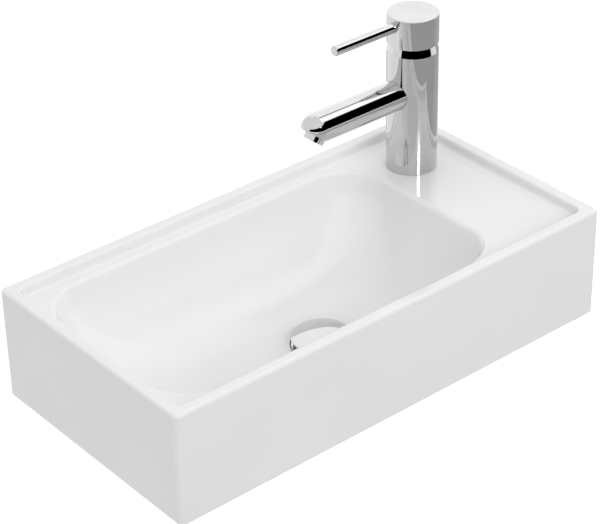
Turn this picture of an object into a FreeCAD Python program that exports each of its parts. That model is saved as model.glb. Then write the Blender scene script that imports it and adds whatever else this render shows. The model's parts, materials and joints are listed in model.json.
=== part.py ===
import FreeCAD, Part
import math
import os
import re
import Sketcher

# Wall-hung vanity basin with a pin-lever mixer tap on its right-hand deck and a push-button waste.
# Millimetres. X runs along the wall to the right, Y towards the wall, Z up.
# The origin lies midway between the two wall fixing holes, on the back face.

SIZES = {
    # ceramic block
    "basin_length": 500,
    "basin_depth": 260,
    "basin_height": 114,
    "corner_radius": 6,
    "top_edge_radius": 3.5,
    "foot_edge_radius": 2,
    "wall_thickness": 11,
    "hollow_corner_radius": 6,
    "deck_thickness": 12,
    # sunk tray inside the rim
    "rim_width": 12,
    "rim_edge_radius": 2.5,
    "tray_depth": 10,
    "tray_corner_radius": 9,
    "tray_fillet": 3.2,
    # bowl
    "bowl_end_margin": 21,
    "bowl_front_margin": 25,
    "bowl_back_margin": 25,
    "deck_width": 103,
    "bowl_corner_radius": 46,
    "bowl_lip_radius": 5,
    "bowl_thickness": 10,
    "end_draft": 10,
    "front_draft": 10,
    "back_draft": 26,
    "bowl_foot_run": 26,
    "bowl_foot_fullness": 2.2,
    "floor_corner_radius": 44,
    "floor_height": 23.5,
    "floor_fall": 4.5,
    # drain hole, set forward of the middle of the floor and towards the tap
    "drain_forward": 12,
    "drain_towards_tap": 41,
    "drain_lip_radius": 33,
    "drain_hole_radius": 23,
    "drain_boss_radius": 36,
    "drain_boss_height": 4,
    "drain_boss_sink": 2,
    # how far a cut runs past the face it opens
    "overrun": 1,
    # wall fixings
    "fixing_height": 49,
    "fixing_spacing": 280,
    "fixing_hole_radius": 8,
    # tap body and spout
    "tap_from_end": 60,
    "tap_from_wall": 64.5,
    "tap_hole_radius": 17.5,
    "tap_radius": 25,
    "tap_height": 124.8,
    "tap_edge_chamfer": 0.5,
    "spout_radius": 15,
    "spout_bore_radius": 9,
    "spout_reach": 120.9,
    "spout_socket_depth": 6,
    "braze_gap": 0.1,
    # nozzle under the nose of the spout, measured from the spout's axis, and the aerator inside it
    "nozzle_tilt": 38,
    "nozzle_back": 4.4,
    "nozzle_radius": 10.2,
    "nozzle_shoulder": 9.5,
    "nozzle_length": 15.2,
    "aerator_recess": 0.4,
    "aerator_length": 5.9,
    "aerator_shoulder": 0.7,
    "aerator_thread_radius": 8.25,
    "aerator_bore_radius": 7.5,
    "aerator_lip": 0.7,
    "aerator_seal_thickness": 1.5,
    "aerator_seal_width": 1.5,
    "aerator_hole_radius": 1,
    "aerator_inner_ring": 3.1,
    "aerator_outer_ring": 5.7,
    "thread_gap": 0.1,
    # tap fixing under the deck
    "base_seal_radius": 23,
    "base_seal_width": 3.5,
    "base_seal_thickness": 2,
    "stud_radius": 4,
    "stud_offset": 10,
    "stud_engagement": 12,
    "stud_drop": 48,
    "clamp_radius": 24,
    "clamp_slot_width": 29,
    "clamp_slot_start": 3,
    "clamp_pad_thickness": 3,
    "clamp_plate_thickness": 2,
    "clamp_nut_flats": 13,
    "clamp_nut_height": 10,
    # water ways
    "inlet_radius": 4.46,
    "inlet_depth": 14,
    "inlet_forward": 5,
    "inlet_spread": 8,
    "water_way_radius": 3.8,
    "outlet_offset": 9,
    # cartridge, heights above its seat
    "seat_web": 2.5,
    "chamber_radius": 18.4,
    "chamber_gap": 0.9,
    "cartridge_gap": 0.3,
    "port_seal_thickness": 1.6,
    "port_seal_radius": 6.2,
    "port_seal_bore": 4.6,
    "base_standoff": 0.2,
    "cartridge_base_height": 5,
    "fixed_disc_radius": 14,
    "fixed_disc_thickness": 4,
    "disc_film": 0.05,
    "moving_disc_radius": 11.5,
    "moving_disc_thickness": 4,
    "moving_disc_offset": 1.7,
    "disc_channel_depth": 2,
    "disc_channel_width": 9,
    "disc_channel_length": 16,
    "carrier_thickness": 2.7,
    "carrier_socket_radius": 3.7,
    "carrier_room": 0.6,
    "housing_shoulder": 18,
    "housing_wall": 2.4,
    "housing_lip": 2,
    "rotor_radius": 10.9,
    "rotor_neck_radius": 8,
    "rotor_neck_rise": 1.7,
    "slot_side": 0.25,
    "slot_front": 0.5,
    "slot_back": 5.4,
    "slot_foot": 2.5,
    "pivot_height": 22,
    "pin_radius": 2,
    "pin_length": 19,
    "pin_fit": 0.02,
    "pin_running_fit": 0.06,
    "nut_thread_gap": 0.1,
    "nut_thread_length": 6,
    "nut_head_height": 5,
    "nut_head_flats": 30,
    # handle
    "stem_width": 7,
    "stem_foot": 3.5,
    "stem_tail_radius": 2.6,
    "stem_tail_end": 13.6,
    "stem_socket_gap": 0.05,
    "stem_entry": 17,
    "collar_height": 9.8,
    "collar_top_radius": 22.8,
    "collar_land": 1.5,
    "collar_plate": 3.3,
    "collar_clearance": 0.7,
    "collar_hole_radius": 11.5,
    "cap_gap": 0.4,
    "cap_height": 29.5,
    "cap_edge_radius": 1,
    "cap_wall": 1.8,
    "cap_hollow": 13,
    "cap_boss_radius": 8.5,
    "cap_boss_drop": 6.7,
    "lever_radius": 5,
    "lever_length": 99,
    "lever_height": 20.5,
    "lever_socket": 5,
    "lever_tenon_radius": 3,
    "lever_tenon_length": 9,
    "lever_tip_radius": 1.2,
    "grub_radius": 2.5,
    "grub_key_flats": 2.5,
    "grub_key_depth": 2.5,
    # push-button waste
    "flange_radius": 29.5,
    "flange_thickness": 2.5,
    "flange_edge_radius": 0.8,
    "flange_seal_thickness": 1.5,
    "flange_clearance": 0.8,
    "tail_radius": 20.95,
    "tail_bore_radius": 17.5,
    "tail_drop": 42,
    "tail_clearance": 0.2,
    "trap_thread_length": 26,
    "thread_relief_width": 2.5,
    "thread_relief_depth": 0.8,
    "mouth_flare": 4.5,
    "web_drop": 18,
    "web_thickness": 4,
    "web_hub_radius": 8.5,
    "web_rim": 1,
    "web_opening_angle": 84,
    "lower_seal_radius": 32,
    "slip_washer_thickness": 1.5,
    "backnut_height": 11,
    "backnut_flats": 54,
    "sleeve_radius": 7,
    "sleeve_bore_radius": 5.4,
    "sleeve_top": 8,
    "sleeve_neck": 3,
    "sleeve_floor": 3,
    "sleeve_stud_radius": 4,
    "plunger_head_radius": 5.1,
    "plunger_head_height": 4,
    "plunger_rod_radius": 3.5,
    "plunger_gap": 0.3,
    "spring_wire_radius": 0.45,
    "spring_gap": 0.65,
    "plug_radius": 29.3,
    "plug_travel": 7,
    "plug_rim": 1.6,
    "plug_rim_chamfer": 0.5,
    "plug_crown": 3.4,
    "plug_boss_radius": 6.5,
    "plug_boss_drop": 8.5,
    "plug_thread_depth": 7.3,
    "spigot_bore_radius": 12,
    "spigot_radius": 15,
    "spigot_drop": 5,
    "spigot_lip": 1,
    "plug_seal_radius": 17.2,
    "plug_seal_gap": 0.05,
}

# Places and sizes that follow from the sheet, as sums of its names.
PLACES = {
    "tray_height": "basin_height - tray_depth",
    "deck_underside": "tray_height - deck_thickness",
    "bowl_left": "bowl_end_margin - basin_length / 2",
    "bowl_right": "basin_length / 2 - deck_width",
    "bowl_front": "bowl_front_margin - basin_depth",
    "bowl_back": "-bowl_back_margin",
    "floor_front": "bowl_front + front_draft + bowl_foot_run",
    "floor_back": "bowl_back - back_draft - bowl_foot_run",
    "drain_x": "(bowl_left + bowl_right) / 2 + drain_towards_tap",
    "drain_y": "(floor_front + floor_back) / 2 - drain_forward",
    "drain_height": "floor_height - floor_fall",
    "drain_seat": "drain_height - flange_thickness - flange_seal_thickness",
    "shelf": "min(bowl_end_margin; bowl_front_margin; bowl_back_margin) - rim_width",
    "tap_x": "basin_length / 2 - tap_from_end",
    "tap_y": "-tap_from_wall",
    "deck_level": "tray_height - fixing_height",
    "spout_socket_floor": "tap_radius - spout_socket_depth",
    "nozzle_start": "spout_reach - nozzle_back",
    "nozzle_way_radius": "aerator_thread_radius - aerator_seal_width",
    "aerator_end": "nozzle_length - aerator_recess",
    "aerator_top": "aerator_end - aerator_length",
    "aerator_seat": "aerator_top - aerator_seal_thickness",
    "bore_end": "nozzle_start - (spout_bore_radius - aerator_seat + aerator_shoulder) / sin(nozzle_tilt)",
    "chamber_depth": "housing_shoulder + nut_thread_length",
    "seat_height": "tap_height - chamber_depth",
    "spout_height": "seat_height - seat_web - spout_radius",
    "cartridge_radius": "chamber_radius - chamber_gap",
    "disc_seat": "seat_height + cartridge_base_height",
    "disc_face": "disc_seat + fixed_disc_thickness + disc_film",
    "carrier_seat": "disc_face + moving_disc_thickness",
    "carrier_top": "carrier_seat + carrier_thickness",
    "rotor_foot": "carrier_top + carrier_room",
    "housing_top": "chamber_depth + collar_height - collar_plate - collar_clearance",
    "rotor_shoulder": "seat_height + housing_top - housing_lip - cartridge_gap",
    "rotor_top": "seat_height + housing_top + rotor_neck_rise",
    "rotor_bore": "rotor_radius + cartridge_gap",
    "housing_neck_radius": "rotor_bore + housing_wall",
    "pivot_level": "seat_height + pivot_height",
    "nut_seat": "seat_height + housing_shoulder",
    "collar_top": "tap_height + collar_height",
    "cap_bottom": "collar_top + cap_gap",
    "cap_top": "cap_bottom + cap_height",
    "cap_roof": "cap_bottom + cap_hollow",
    "cap_boss_bottom": "cap_roof - cap_boss_drop",
    "lever_level": "cap_bottom + lever_height",
    "lever_seat": "tap_radius - lever_socket",
    "grub_level": "cap_roof - cap_boss_drop / 2",
    "flange_underside": "drain_height - flange_thickness",
    "washer_bore": "tail_radius + tail_clearance",
    "relief_radius": "tail_radius - thread_relief_depth",
    "relief_low": "trap_thread_length - tail_drop",
    "relief_high": "relief_low + thread_relief_width",
    "slip_washer_seat": "-slip_washer_thickness",
    "sleeve_foot": "-web_drop",
    "spring_foot": "sleeve_foot + sleeve_floor",
    "plunger_top": "sleeve_top - sleeve_neck - plunger_gap",
    "plunger_foot": "plunger_top - plunger_head_height",
    "plug_underside": "drain_height + plug_travel",
    "plug_rim_top": "plug_underside + plug_rim",
    "plug_crown_radius": "(plug_radius ^ 2 + plug_crown ^ 2) / (2 * plug_crown)",
}

UPRIGHT = "rotation(vector(0; 0; 1); 0)"
DOWNWARD = "rotation(vector(1; 0; 0); 180)"
TO_RIGHT = "rotation(vector(0; 1; 0); 90)"
TO_LEFT = "rotation(vector(0; 1; 0); -90)"
TO_FRONT = "rotation(vector(1; 0; 0); 90)"
ALONG_NOZZLE = "rotation(vector(0; 1; 0); 180 + nozzle_tilt)"

# The bowl's wall is a superellipse in section. Its outlines lie at even angles from lip to floor.
BOWL_ANGLES = (0, 15, 30, 45, 60, 75, 90)
# Most that a rounded edge may take of the shelf between rim and bowl.
LIP_SHARE = 0.55
TRAY_FOOT_SHARE = 0.36
INNER_JET_COUNT = 6
OUTER_JET_COUNT = 12
WEB_ARMS = 3
SPRING_TURNS = 5
SPRING_POINTS_PER_TURN = 48

doc = FreeCAD.newDocument("vanity_basin")
sheet = doc.addObject("Spreadsheet::Sheet", "Sizes")
for row, (name, number) in enumerate(SIZES.items(), start=1):
    sheet.set(f"A{row}", name)
    sheet.set(f"B{row}", str(number))
    sheet.setAlias(f"B{row}", name)
doc.recompute()

sub_parts = []


# A sum of names, spelled out as an expression on the sheet.
def formula(words):
    def spell(match):
        word = match.group(0)
        if word in PLACES:
            return "(" + formula(PLACES[word]) + ")"
        return "Sizes." + word if word in SIZES else word

    return re.sub(r"[a-z][a-z_]*", spell, str(words))


# The present value of such a sum.
def value(words):
    found = sheet.evalExpression(formula(words))
    return float(getattr(found, "Value", found))


def bind(item, prop, words):
    item.setExpression(prop, formula(words))


def place(item, at, turn=UPRIGHT):
    base = "; ".join(f"({number})" for number in at)
    bind(item, "Placement", f"placement(vector({base}); {turn})")


# One of the body's own planes or axes.
def origin_item(body, role):
    return next(item for item in body.Origin.OriginFeatures if item.Role == role)


# An empty body for one sub-part, set down at its place in the part's frame.
def new_body(label, at, turn=UPRIGHT):
    body = doc.addObject("PartDesign::Body", label)
    body.Label = label
    place(body, at, turn)
    sub_parts.append(body)
    return body


# A sketch on one of the body's own planes, moved along that plane's normal.
def new_sketch(body, name, plane, shift="0"):
    sketch = body.newObject("Sketcher::SketchObject", name)
    sketch.AttachmentSupport = [(origin_item(body, plane), "")]
    sketch.MapMode = "FlatFace"
    bind(sketch, "AttachmentOffset.Base.z", shift)
    return sketch


# A closed outline through corners (x, y). A corner (x, y, turn, radius) ends an arc from the corner before
# it, turning "left" or "right". Every corner and radius is bound to the sheet.
def draw_outline(sketch, corners):
    count = len(corners)
    spots = [FreeCAD.Vector(value(corner[0]), value(corner[1]), 0) for corner in corners]
    first_end = []
    for index in range(count):
        start, corner = spots[index], corners[(index + 1) % count]
        finish = spots[(index + 1) % count]
        if len(corner) == 2:
            sketch.addGeometry(Part.LineSegment(start, finish), False)
            first_end.append(1)
            continue
        radius = value(corner[3])
        side = 1 if corner[2] == "left" else -1
        chord = finish - start
        across = FreeCAD.Vector(-chord.y, chord.x, 0).normalize()
        reach = math.sqrt(max(radius ** 2 - chord.Length ** 2 / 4, 0))
        centre = (start + finish) * 0.5 + across * reach * side
        angles = [math.atan2(spot.y - centre.y, spot.x - centre.x) for spot in (start, finish)]
        circle = Part.Circle(centre, FreeCAD.Vector(0, 0, 1), radius)
        sketch.addGeometry(Part.ArcOfCircle(circle, *angles[::side]), False)
        first_end.append(1 if side > 0 else 2)
    for index in range(count):
        following = (index + 1) % count
        sketch.addConstraint(Sketcher.Constraint(
            "Coincident", index, 3 - first_end[index], following, first_end[following]))
    for index, corner in enumerate(corners):
        for kind, words in zip(("DistanceX", "DistanceY"), corner):
            number = sketch.addConstraint(Sketcher.Constraint(
                kind, -1, 1, index, first_end[index], value(words)))
            bind(sketch, f"Constraints[{number}]", words)
        if len(corner) > 2:
            number = sketch.addConstraint(Sketcher.Constraint(
                "Radius", (index - 1) % count, value(corner[3])))
            bind(sketch, f"Constraints[{number}]", corner[3])


def draw_circle(sketch, x, y, radius):
    centre = FreeCAD.Vector(value(x), value(y), 0)
    index = sketch.addGeometry(Part.Circle(centre, FreeCAD.Vector(0, 0, 1), value(radius)), False)
    for kind, words in (("DistanceX", x), ("DistanceY", y)):
        number = sketch.addConstraint(Sketcher.Constraint(kind, -1, 1, index, 3, value(words)))
        bind(sketch, f"Constraints[{number}]", words)
    number = sketch.addConstraint(Sketcher.Constraint("Radius", index, value(radius)))
    bind(sketch, f"Constraints[{number}]", radius)


def rounded_rectangle(left, right, front, back, radius):
    return [
        (f"{left} + {radius}", front, "left", radius),
        (f"{right} - {radius}", front),
        (right, f"{front} + {radius}", "left", radius),
        (right, f"{back} - {radius}"),
        (f"{right} - {radius}", back, "left", radius),
        (f"{left} + {radius}", back),
        (left, f"{back} - {radius}", "left", radius),
        (left, f"{front} + {radius}"),
    ]


# A circle cut into eight arcs, to be joined to a rounded rectangle's eight edges.
def eight_arcs(x, y, radius):
    return [
        (f"{x} + {radius} * cos({angle})", f"{y} + {radius} * sin({angle})", "left", radius)
        for angle in (247.5, 292.5, 337.5, 22.5, 67.5, 112.5, 157.5, 202.5)
    ]


def hexagon(flats):
    reach = f"{flats} / sqrt(3)"
    return [(f"{reach} * cos({angle})", f"{reach} * sin({angle})") for angle in range(0, 360, 60)]


def pad(body, name, sketch, length):
    feature = body.newObject("PartDesign::Pad", name)
    feature.Profile = sketch
    bind(feature, "Length", length)
    return feature


# A pocket cut along the sketch's normal when upward, against it otherwise.
def pocket(body, name, sketch, length, upward=False):
    feature = body.newObject("PartDesign::Pocket", name)
    feature.Profile = sketch
    feature.Reversed = upward
    bind(feature, "Length", length)
    return feature


# A body turned about its own Z axis, or about X when lying.
def turned(label, corners, at, turn=UPRIGHT, lying=False):
    body = new_body(label, at, turn)
    sketch = new_sketch(body, label + "_profile", "XZ_Plane")
    draw_outline(sketch, corners)
    feature = body.newObject("PartDesign::Revolution", label + "_turn")
    feature.Profile = sketch
    feature.ReferenceAxis = (sketch, ["H_Axis" if lying else "V_Axis"])
    return body


def ring(label, bore, radius, low, high, at, turn=UPRIGHT):
    return turned(label, [(bore, low), (radius, low), (radius, high), (bore, high)], at, turn)


# A straight round cut that starts at a point and runs along the turned axis.
def drill(body, name, radius, length, at, turn=UPRIGHT):
    cut = body.newObject("PartDesign::SubtractiveCylinder", name)
    bind(cut, "Radius", radius)
    bind(cut, "Height", length)
    place(cut, at, turn)
    return cut


# A box-shaped cut between two corners.
def slot(body, name, low, high):
    cut = body.newObject("PartDesign::SubtractiveBox", name)
    for prop, near, far in zip(("Length", "Width", "Height"), low, high):
        bind(cut, prop, f"({far}) - ({near})")
    place(cut, low)
    return cut


# A cut repeated evenly round the body's Z axis.
def around(body, name, cut, count):
    pattern = body.newObject("PartDesign::PolarPattern", name)
    pattern.Originals = [cut]
    pattern.Axis = (origin_item(body, "Z_Axis"), [""])
    pattern.Angle = 360
    pattern.Occurrences = count
    body.Tip = pattern


# Round off the level edges of the body's present shape that run round a rectangle at a height.
def round_edges(body, name, radius, height, rectangle):
    doc.recompute()
    base = body.Tip
    slack = 0.001
    level = value(height)
    left, right, front, back = [value(line) for line in rectangle]
    edges = []
    for number, edge in enumerate(base.Shape.Edges, start=1):
        box = edge.BoundBox
        margins = (box.XMin - left, right - box.XMax, box.YMin - front, back - box.YMax)
        on_line = min(margins) > -slack and min(margins) < slack
        if on_line and box.ZLength < slack and abs(box.ZMin - level) < slack:
            edges.append(f"Edge{number}")
    feature = body.newObject("PartDesign::Fillet", name)
    feature.Base = (base, edges)
    bind(feature, "Radius", radius)
    return feature


# Basin

# Share of the bowl's depth at an angle round its superellipse.
def depth_share(angle):
    return f"(sin({angle}) ^ (2 / bowl_foot_fullness))"


# Cross-section of the bowl at an angle between its opening and its floor, widened all round.
def bowl_section(angle, widening="0"):
    step = depth_share(angle)
    foot = f"bowl_foot_run * (1 - max(cos({angle}); 0) ^ (2 / bowl_foot_fullness)) - {widening}"
    radius = f"(bowl_corner_radius + {step} * (floor_corner_radius - bowl_corner_radius) + {widening})"
    return rounded_rectangle(
        f"(bowl_left + {step} * end_draft + {foot})",
        f"(bowl_right - {step} * end_draft - ({foot}))",
        f"(bowl_front + {step} * front_draft + {foot})",
        f"(bowl_back - {step} * back_draft - ({foot}))",
        radius,
    )


def loft(body, kind, name, sections):
    sketches = []
    for number, (corners, height) in enumerate(sections, start=1):
        sketch = new_sketch(body, f"{name}_section_{number}", "XY_Plane", height)
        draw_outline(sketch, corners)
        sketches.append(sketch)
    feature = body.newObject(kind, name)
    feature.Profile = sketches[0]
    feature.Sections = sketches[1:]
    return feature


def make_basin():
    body = new_body("basin_body", ("0", "0", "-fixing_height"))
    half = "(basin_length / 2)"

    block = new_sketch(body, "block_outline", "XY_Plane")
    draw_outline(block, rounded_rectangle(f"-{half}", half, "-basin_depth", "0", "corner_radius"))
    pad(body, "block", block, "basin_height")

    hollow = new_sketch(body, "hollow_outline", "XY_Plane")
    draw_outline(hollow, rounded_rectangle(
        f"(wall_thickness - {half})", f"({half} - wall_thickness)",
        "(wall_thickness - basin_depth)", "(-wall_thickness)", "hollow_corner_radius"))
    pocket(body, "hollow", hollow, "deck_underside", upward=True)

    shell, bowl = [], []
    for angle in BOWL_ANGLES:
        inner_drop = f"{depth_share(angle)} * (tray_height - floor_height)"
        outer_drop = f"{depth_share(angle)} * (tray_height - floor_height + bowl_thickness)"
        shell.append((bowl_section(angle, "bowl_thickness"), f"tray_height - {outer_drop}"))
        bowl.append((bowl_section(angle), f"tray_height - {inner_drop}"))
    loft(body, "PartDesign::AdditiveLoft", "bowl_shell", shell)
    loft(body, "PartDesign::SubtractiveLoft", "bowl", bowl)
    drain_lip = eight_arcs("drain_x", "drain_y", "drain_lip_radius")
    floor = [(bowl_section(BOWL_ANGLES[-1]), "floor_height"), (drain_lip, "drain_height")]
    loft(body, "PartDesign::SubtractiveLoft", "bowl_floor", floor)

    tray = new_sketch(body, "tray_outline", "XY_Plane", "basin_height")
    draw_outline(tray, rounded_rectangle(
        f"(rim_width - {half})", f"({half} - rim_width)",
        "(rim_width - basin_depth)", "(-rim_width)", "tray_corner_radius"))
    pocket(body, "tray", tray, "tray_depth")

    outside = (f"-{half}", half, "-basin_depth", "0")
    rim_line = (f"rim_width - {half}", f"{half} - rim_width", "rim_width - basin_depth", "-rim_width")
    lip_line = ("bowl_left", "bowl_right", "bowl_front", "bowl_back")
    round_edges(body, "lip", f"min(bowl_lip_radius; shelf * {LIP_SHARE})", "tray_height", lip_line)
    round_edges(body, "tray_foot", f"min(tray_fillet; shelf * {TRAY_FOOT_SHARE})", "tray_height", rim_line)
    round_edges(body, "rim_inside", "rim_edge_radius", "basin_height", rim_line)
    round_edges(body, "rim_outside", "top_edge_radius", "basin_height", outside)
    round_edges(body, "foot_outside", "foot_edge_radius", "0", outside)

    boss = new_sketch(body, "boss_outline", "XY_Plane", "drain_boss_height")
    draw_circle(boss, "drain_x", "drain_y", "drain_boss_radius")
    pad(body, "drain_boss", boss, "floor_height - bowl_thickness + drain_boss_sink - drain_boss_height")

    drill(body, "drain_recess", "flange_radius + flange_clearance", "basin_height",
          ("drain_x", "drain_y", "drain_seat"))
    drill(body, "drain_hole", "drain_hole_radius", "basin_height", ("drain_x", "drain_y", "0"))
    drill(body, "tap_hole", "tap_hole_radius", "2 * deck_thickness",
          ("tap_x", "tap_y", "tray_height"), DOWNWARD)
    for side, sign in (("left", "-"), ("right", "")):
        drill(body, f"{side}_fixing_hole", "fixing_hole_radius", "wall_thickness + 2 * overrun",
              (f"{sign}fixing_spacing / 2", "overrun", "fixing_height"), TO_FRONT)


# Tap body, spout and aerator, with heights above the deck

TAP = ("tap_x", "tap_y", "deck_level")
PORTS = {
    "hot": ("inlet_forward", "inlet_spread"),
    "cold": ("inlet_forward", "-inlet_spread"),
    "mixed": ("-outlet_offset", "0"),
}


def make_tap_body():
    groove = "(base_seal_radius - base_seal_width)"
    body = turned("tap_body", [
        ("0", "0"),
        (groove, "0"),
        (groove, "base_seal_thickness"),
        ("base_seal_radius", "base_seal_thickness"),
        ("base_seal_radius", "0"),
        ("tap_radius - tap_edge_chamfer", "0"),
        ("tap_radius", "tap_edge_chamfer"),
        ("tap_radius", "tap_height"),
        ("chamber_radius", "tap_height"),
        ("chamber_radius", "seat_height"),
        ("0", "seat_height"),
    ], TAP)
    drill(body, "spout_socket", "spout_radius + braze_gap", "tap_radius",
          ("-spout_socket_floor", "0", "spout_height"), TO_LEFT)
    drill(body, "spout_way", "spout_bore_radius", "spout_socket_floor - outlet_offset + water_way_radius",
          ("water_way_radius - outlet_offset", "0", "spout_height"), TO_LEFT)
    drill(body, "mixed_way", "water_way_radius", "seat_height - spout_height",
          PORTS["mixed"] + ("spout_height",))
    for side in ("hot", "cold"):
        drill(body, f"{side}_way", "water_way_radius", "seat_height", PORTS[side] + ("0",))
        drill(body, f"{side}_inlet", "inlet_radius", "inlet_depth", PORTS[side] + ("0",))
    drill(body, "stud_hole", "stud_radius + thread_gap", "stud_engagement", ("-stud_offset", "0", "0"))


# A point on the nozzle's axis, seen from where the spout's axis meets the tap's.
def along_nozzle(distance):
    return (f"-nozzle_start - {distance} * sin(nozzle_tilt)", "0", f"-{distance} * cos(nozzle_tilt)")


# The tube and its round nose lie along X. The nose is faced off square to the nozzle, which stands out from that
# shoulder. The tube's bore stops short of the seat that the aerator's seal is pressed against.
def make_spout():
    body = turned("spout", [
        ("-spout_socket_floor", "0"),
        ("-spout_socket_floor", "spout_radius"),
        ("-spout_reach", "spout_radius"),
        ("-spout_reach - spout_radius", "0", "left", "spout_radius"),
    ], ("tap_x", "tap_y", "deck_level + spout_height"), lying=True)
    drill(body, "shoulder_face", "2 * spout_radius", "spout_radius", along_nozzle("nozzle_shoulder"), ALONG_NOZZLE)
    nozzle = body.newObject("PartDesign::AdditiveCylinder", "nozzle")
    bind(nozzle, "Radius", "nozzle_radius")
    bind(nozzle, "Height", "nozzle_length")
    place(nozzle, along_nozzle("0"), ALONG_NOZZLE)
    drill(body, "nozzle_way", "nozzle_way_radius", "nozzle_length", along_nozzle("0"), ALONG_NOZZLE)
    drill(body, "aerator_thread", "aerator_thread_radius + thread_gap", "nozzle_length",
          along_nozzle("aerator_seat"), ALONG_NOZZLE)
    bore = new_sketch(body, "bore_profile", "XZ_Plane")
    draw_outline(bore, [
        ("-spout_socket_floor", "0"),
        ("-spout_socket_floor", "spout_bore_radius"),
        ("-bore_end", "spout_bore_radius"),
        ("-bore_end - spout_bore_radius", "0", "left", "spout_bore_radius"),
    ])
    groove = body.newObject("PartDesign::Groove", "spout_bore")
    groove.Profile = bore
    groove.ReferenceAxis = (bore, ["H_Axis"])


# The aerator's parts stand on the nozzle's own axis, which starts on the spout's axis.
def make_aerator():
    nose = ("tap_x - nozzle_start", "tap_y", "deck_level + spout_height")
    turned("aerator_housing", [
        ("aerator_bore_radius", "aerator_top"),
        ("aerator_thread_radius", "aerator_top"),
        ("aerator_thread_radius", "aerator_end"),
        ("aerator_bore_radius - aerator_lip", "aerator_end"),
        ("aerator_bore_radius - aerator_lip", "aerator_end - aerator_lip"),
        ("aerator_bore_radius", "aerator_end - aerator_lip"),
    ], nose, ALONG_NOZZLE)
    ring("aerator_seal", "nozzle_way_radius", "aerator_thread_radius", "aerator_seat", "aerator_top",
         nose, ALONG_NOZZLE)

    body = ring("aerator_insert", "aerator_hole_radius", "aerator_bore_radius - thread_gap",
                "aerator_top", "aerator_end - aerator_lip", nose, ALONG_NOZZLE)
    for name, count in (("inner", INNER_JET_COUNT), ("outer", OUTER_JET_COUNT)):
        sketch = new_sketch(body, f"{name}_hole", "XY_Plane", "aerator_top")
        draw_circle(sketch, f"aerator_{name}_ring", "0", "aerator_hole_radius")
        hole = pocket(body, f"{name}_jet", sketch, "aerator_length", upward=True)
        around(body, f"{name}_jets", hole, count)


# Tap fixing under the deck

# A round plate with a slot, open to the right, that the two water ways pass through.
def make_horseshoe(label, thickness, top):
    body = new_body(label, TAP)
    sketch = new_sketch(body, label + "_outline", "XY_Plane", f"{top} - {thickness}")
    draw_circle(sketch, "0", "0", "clamp_radius")
    pad(body, label + "_plate", sketch, thickness)
    slot(body, label + "_slot",
         ("-clamp_slot_start", "-clamp_slot_width / 2", f"{top} - {thickness} - overrun"),
         ("clamp_radius + overrun", "clamp_slot_width / 2", f"{top} + overrun"))
    drill(body, label + "_stud_hole", "stud_radius + thread_gap", f"{thickness} + 2 * overrun",
          ("-stud_offset", "0", f"{top} - {thickness} - overrun"))


def make_tap_fixing():
    ring("base_seal", "base_seal_radius - base_seal_width", "base_seal_radius",
         "0", "base_seal_thickness", TAP)
    stud = ("tap_x - stud_offset", "tap_y", "deck_level")
    turned("tap_stud", [
        ("0", "-stud_drop"),
        ("stud_radius", "-stud_drop"),
        ("stud_radius", "stud_engagement"),
        ("0", "stud_engagement"),
    ], stud)
    make_horseshoe("clamp_pad", "clamp_pad_thickness", "(-deck_thickness)")
    make_horseshoe("clamp_plate", "clamp_plate_thickness", "(-deck_thickness - clamp_pad_thickness)")
    plate_underside = "(-deck_thickness - clamp_pad_thickness - clamp_plate_thickness)"
    nut = new_body("clamp_nut", stud)
    sketch = new_sketch(nut, "clamp_nut_outline", "XY_Plane", f"{plate_underside} - clamp_nut_height")
    draw_outline(sketch, hexagon("clamp_nut_flats"))
    pad(nut, "clamp_nut_block", sketch, "clamp_nut_height")
    drill(nut, "clamp_nut_bore", "stud_radius + thread_gap", "clamp_nut_height",
          ("0", "0", f"{plate_underside} - clamp_nut_height"))


# Cartridge

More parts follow.
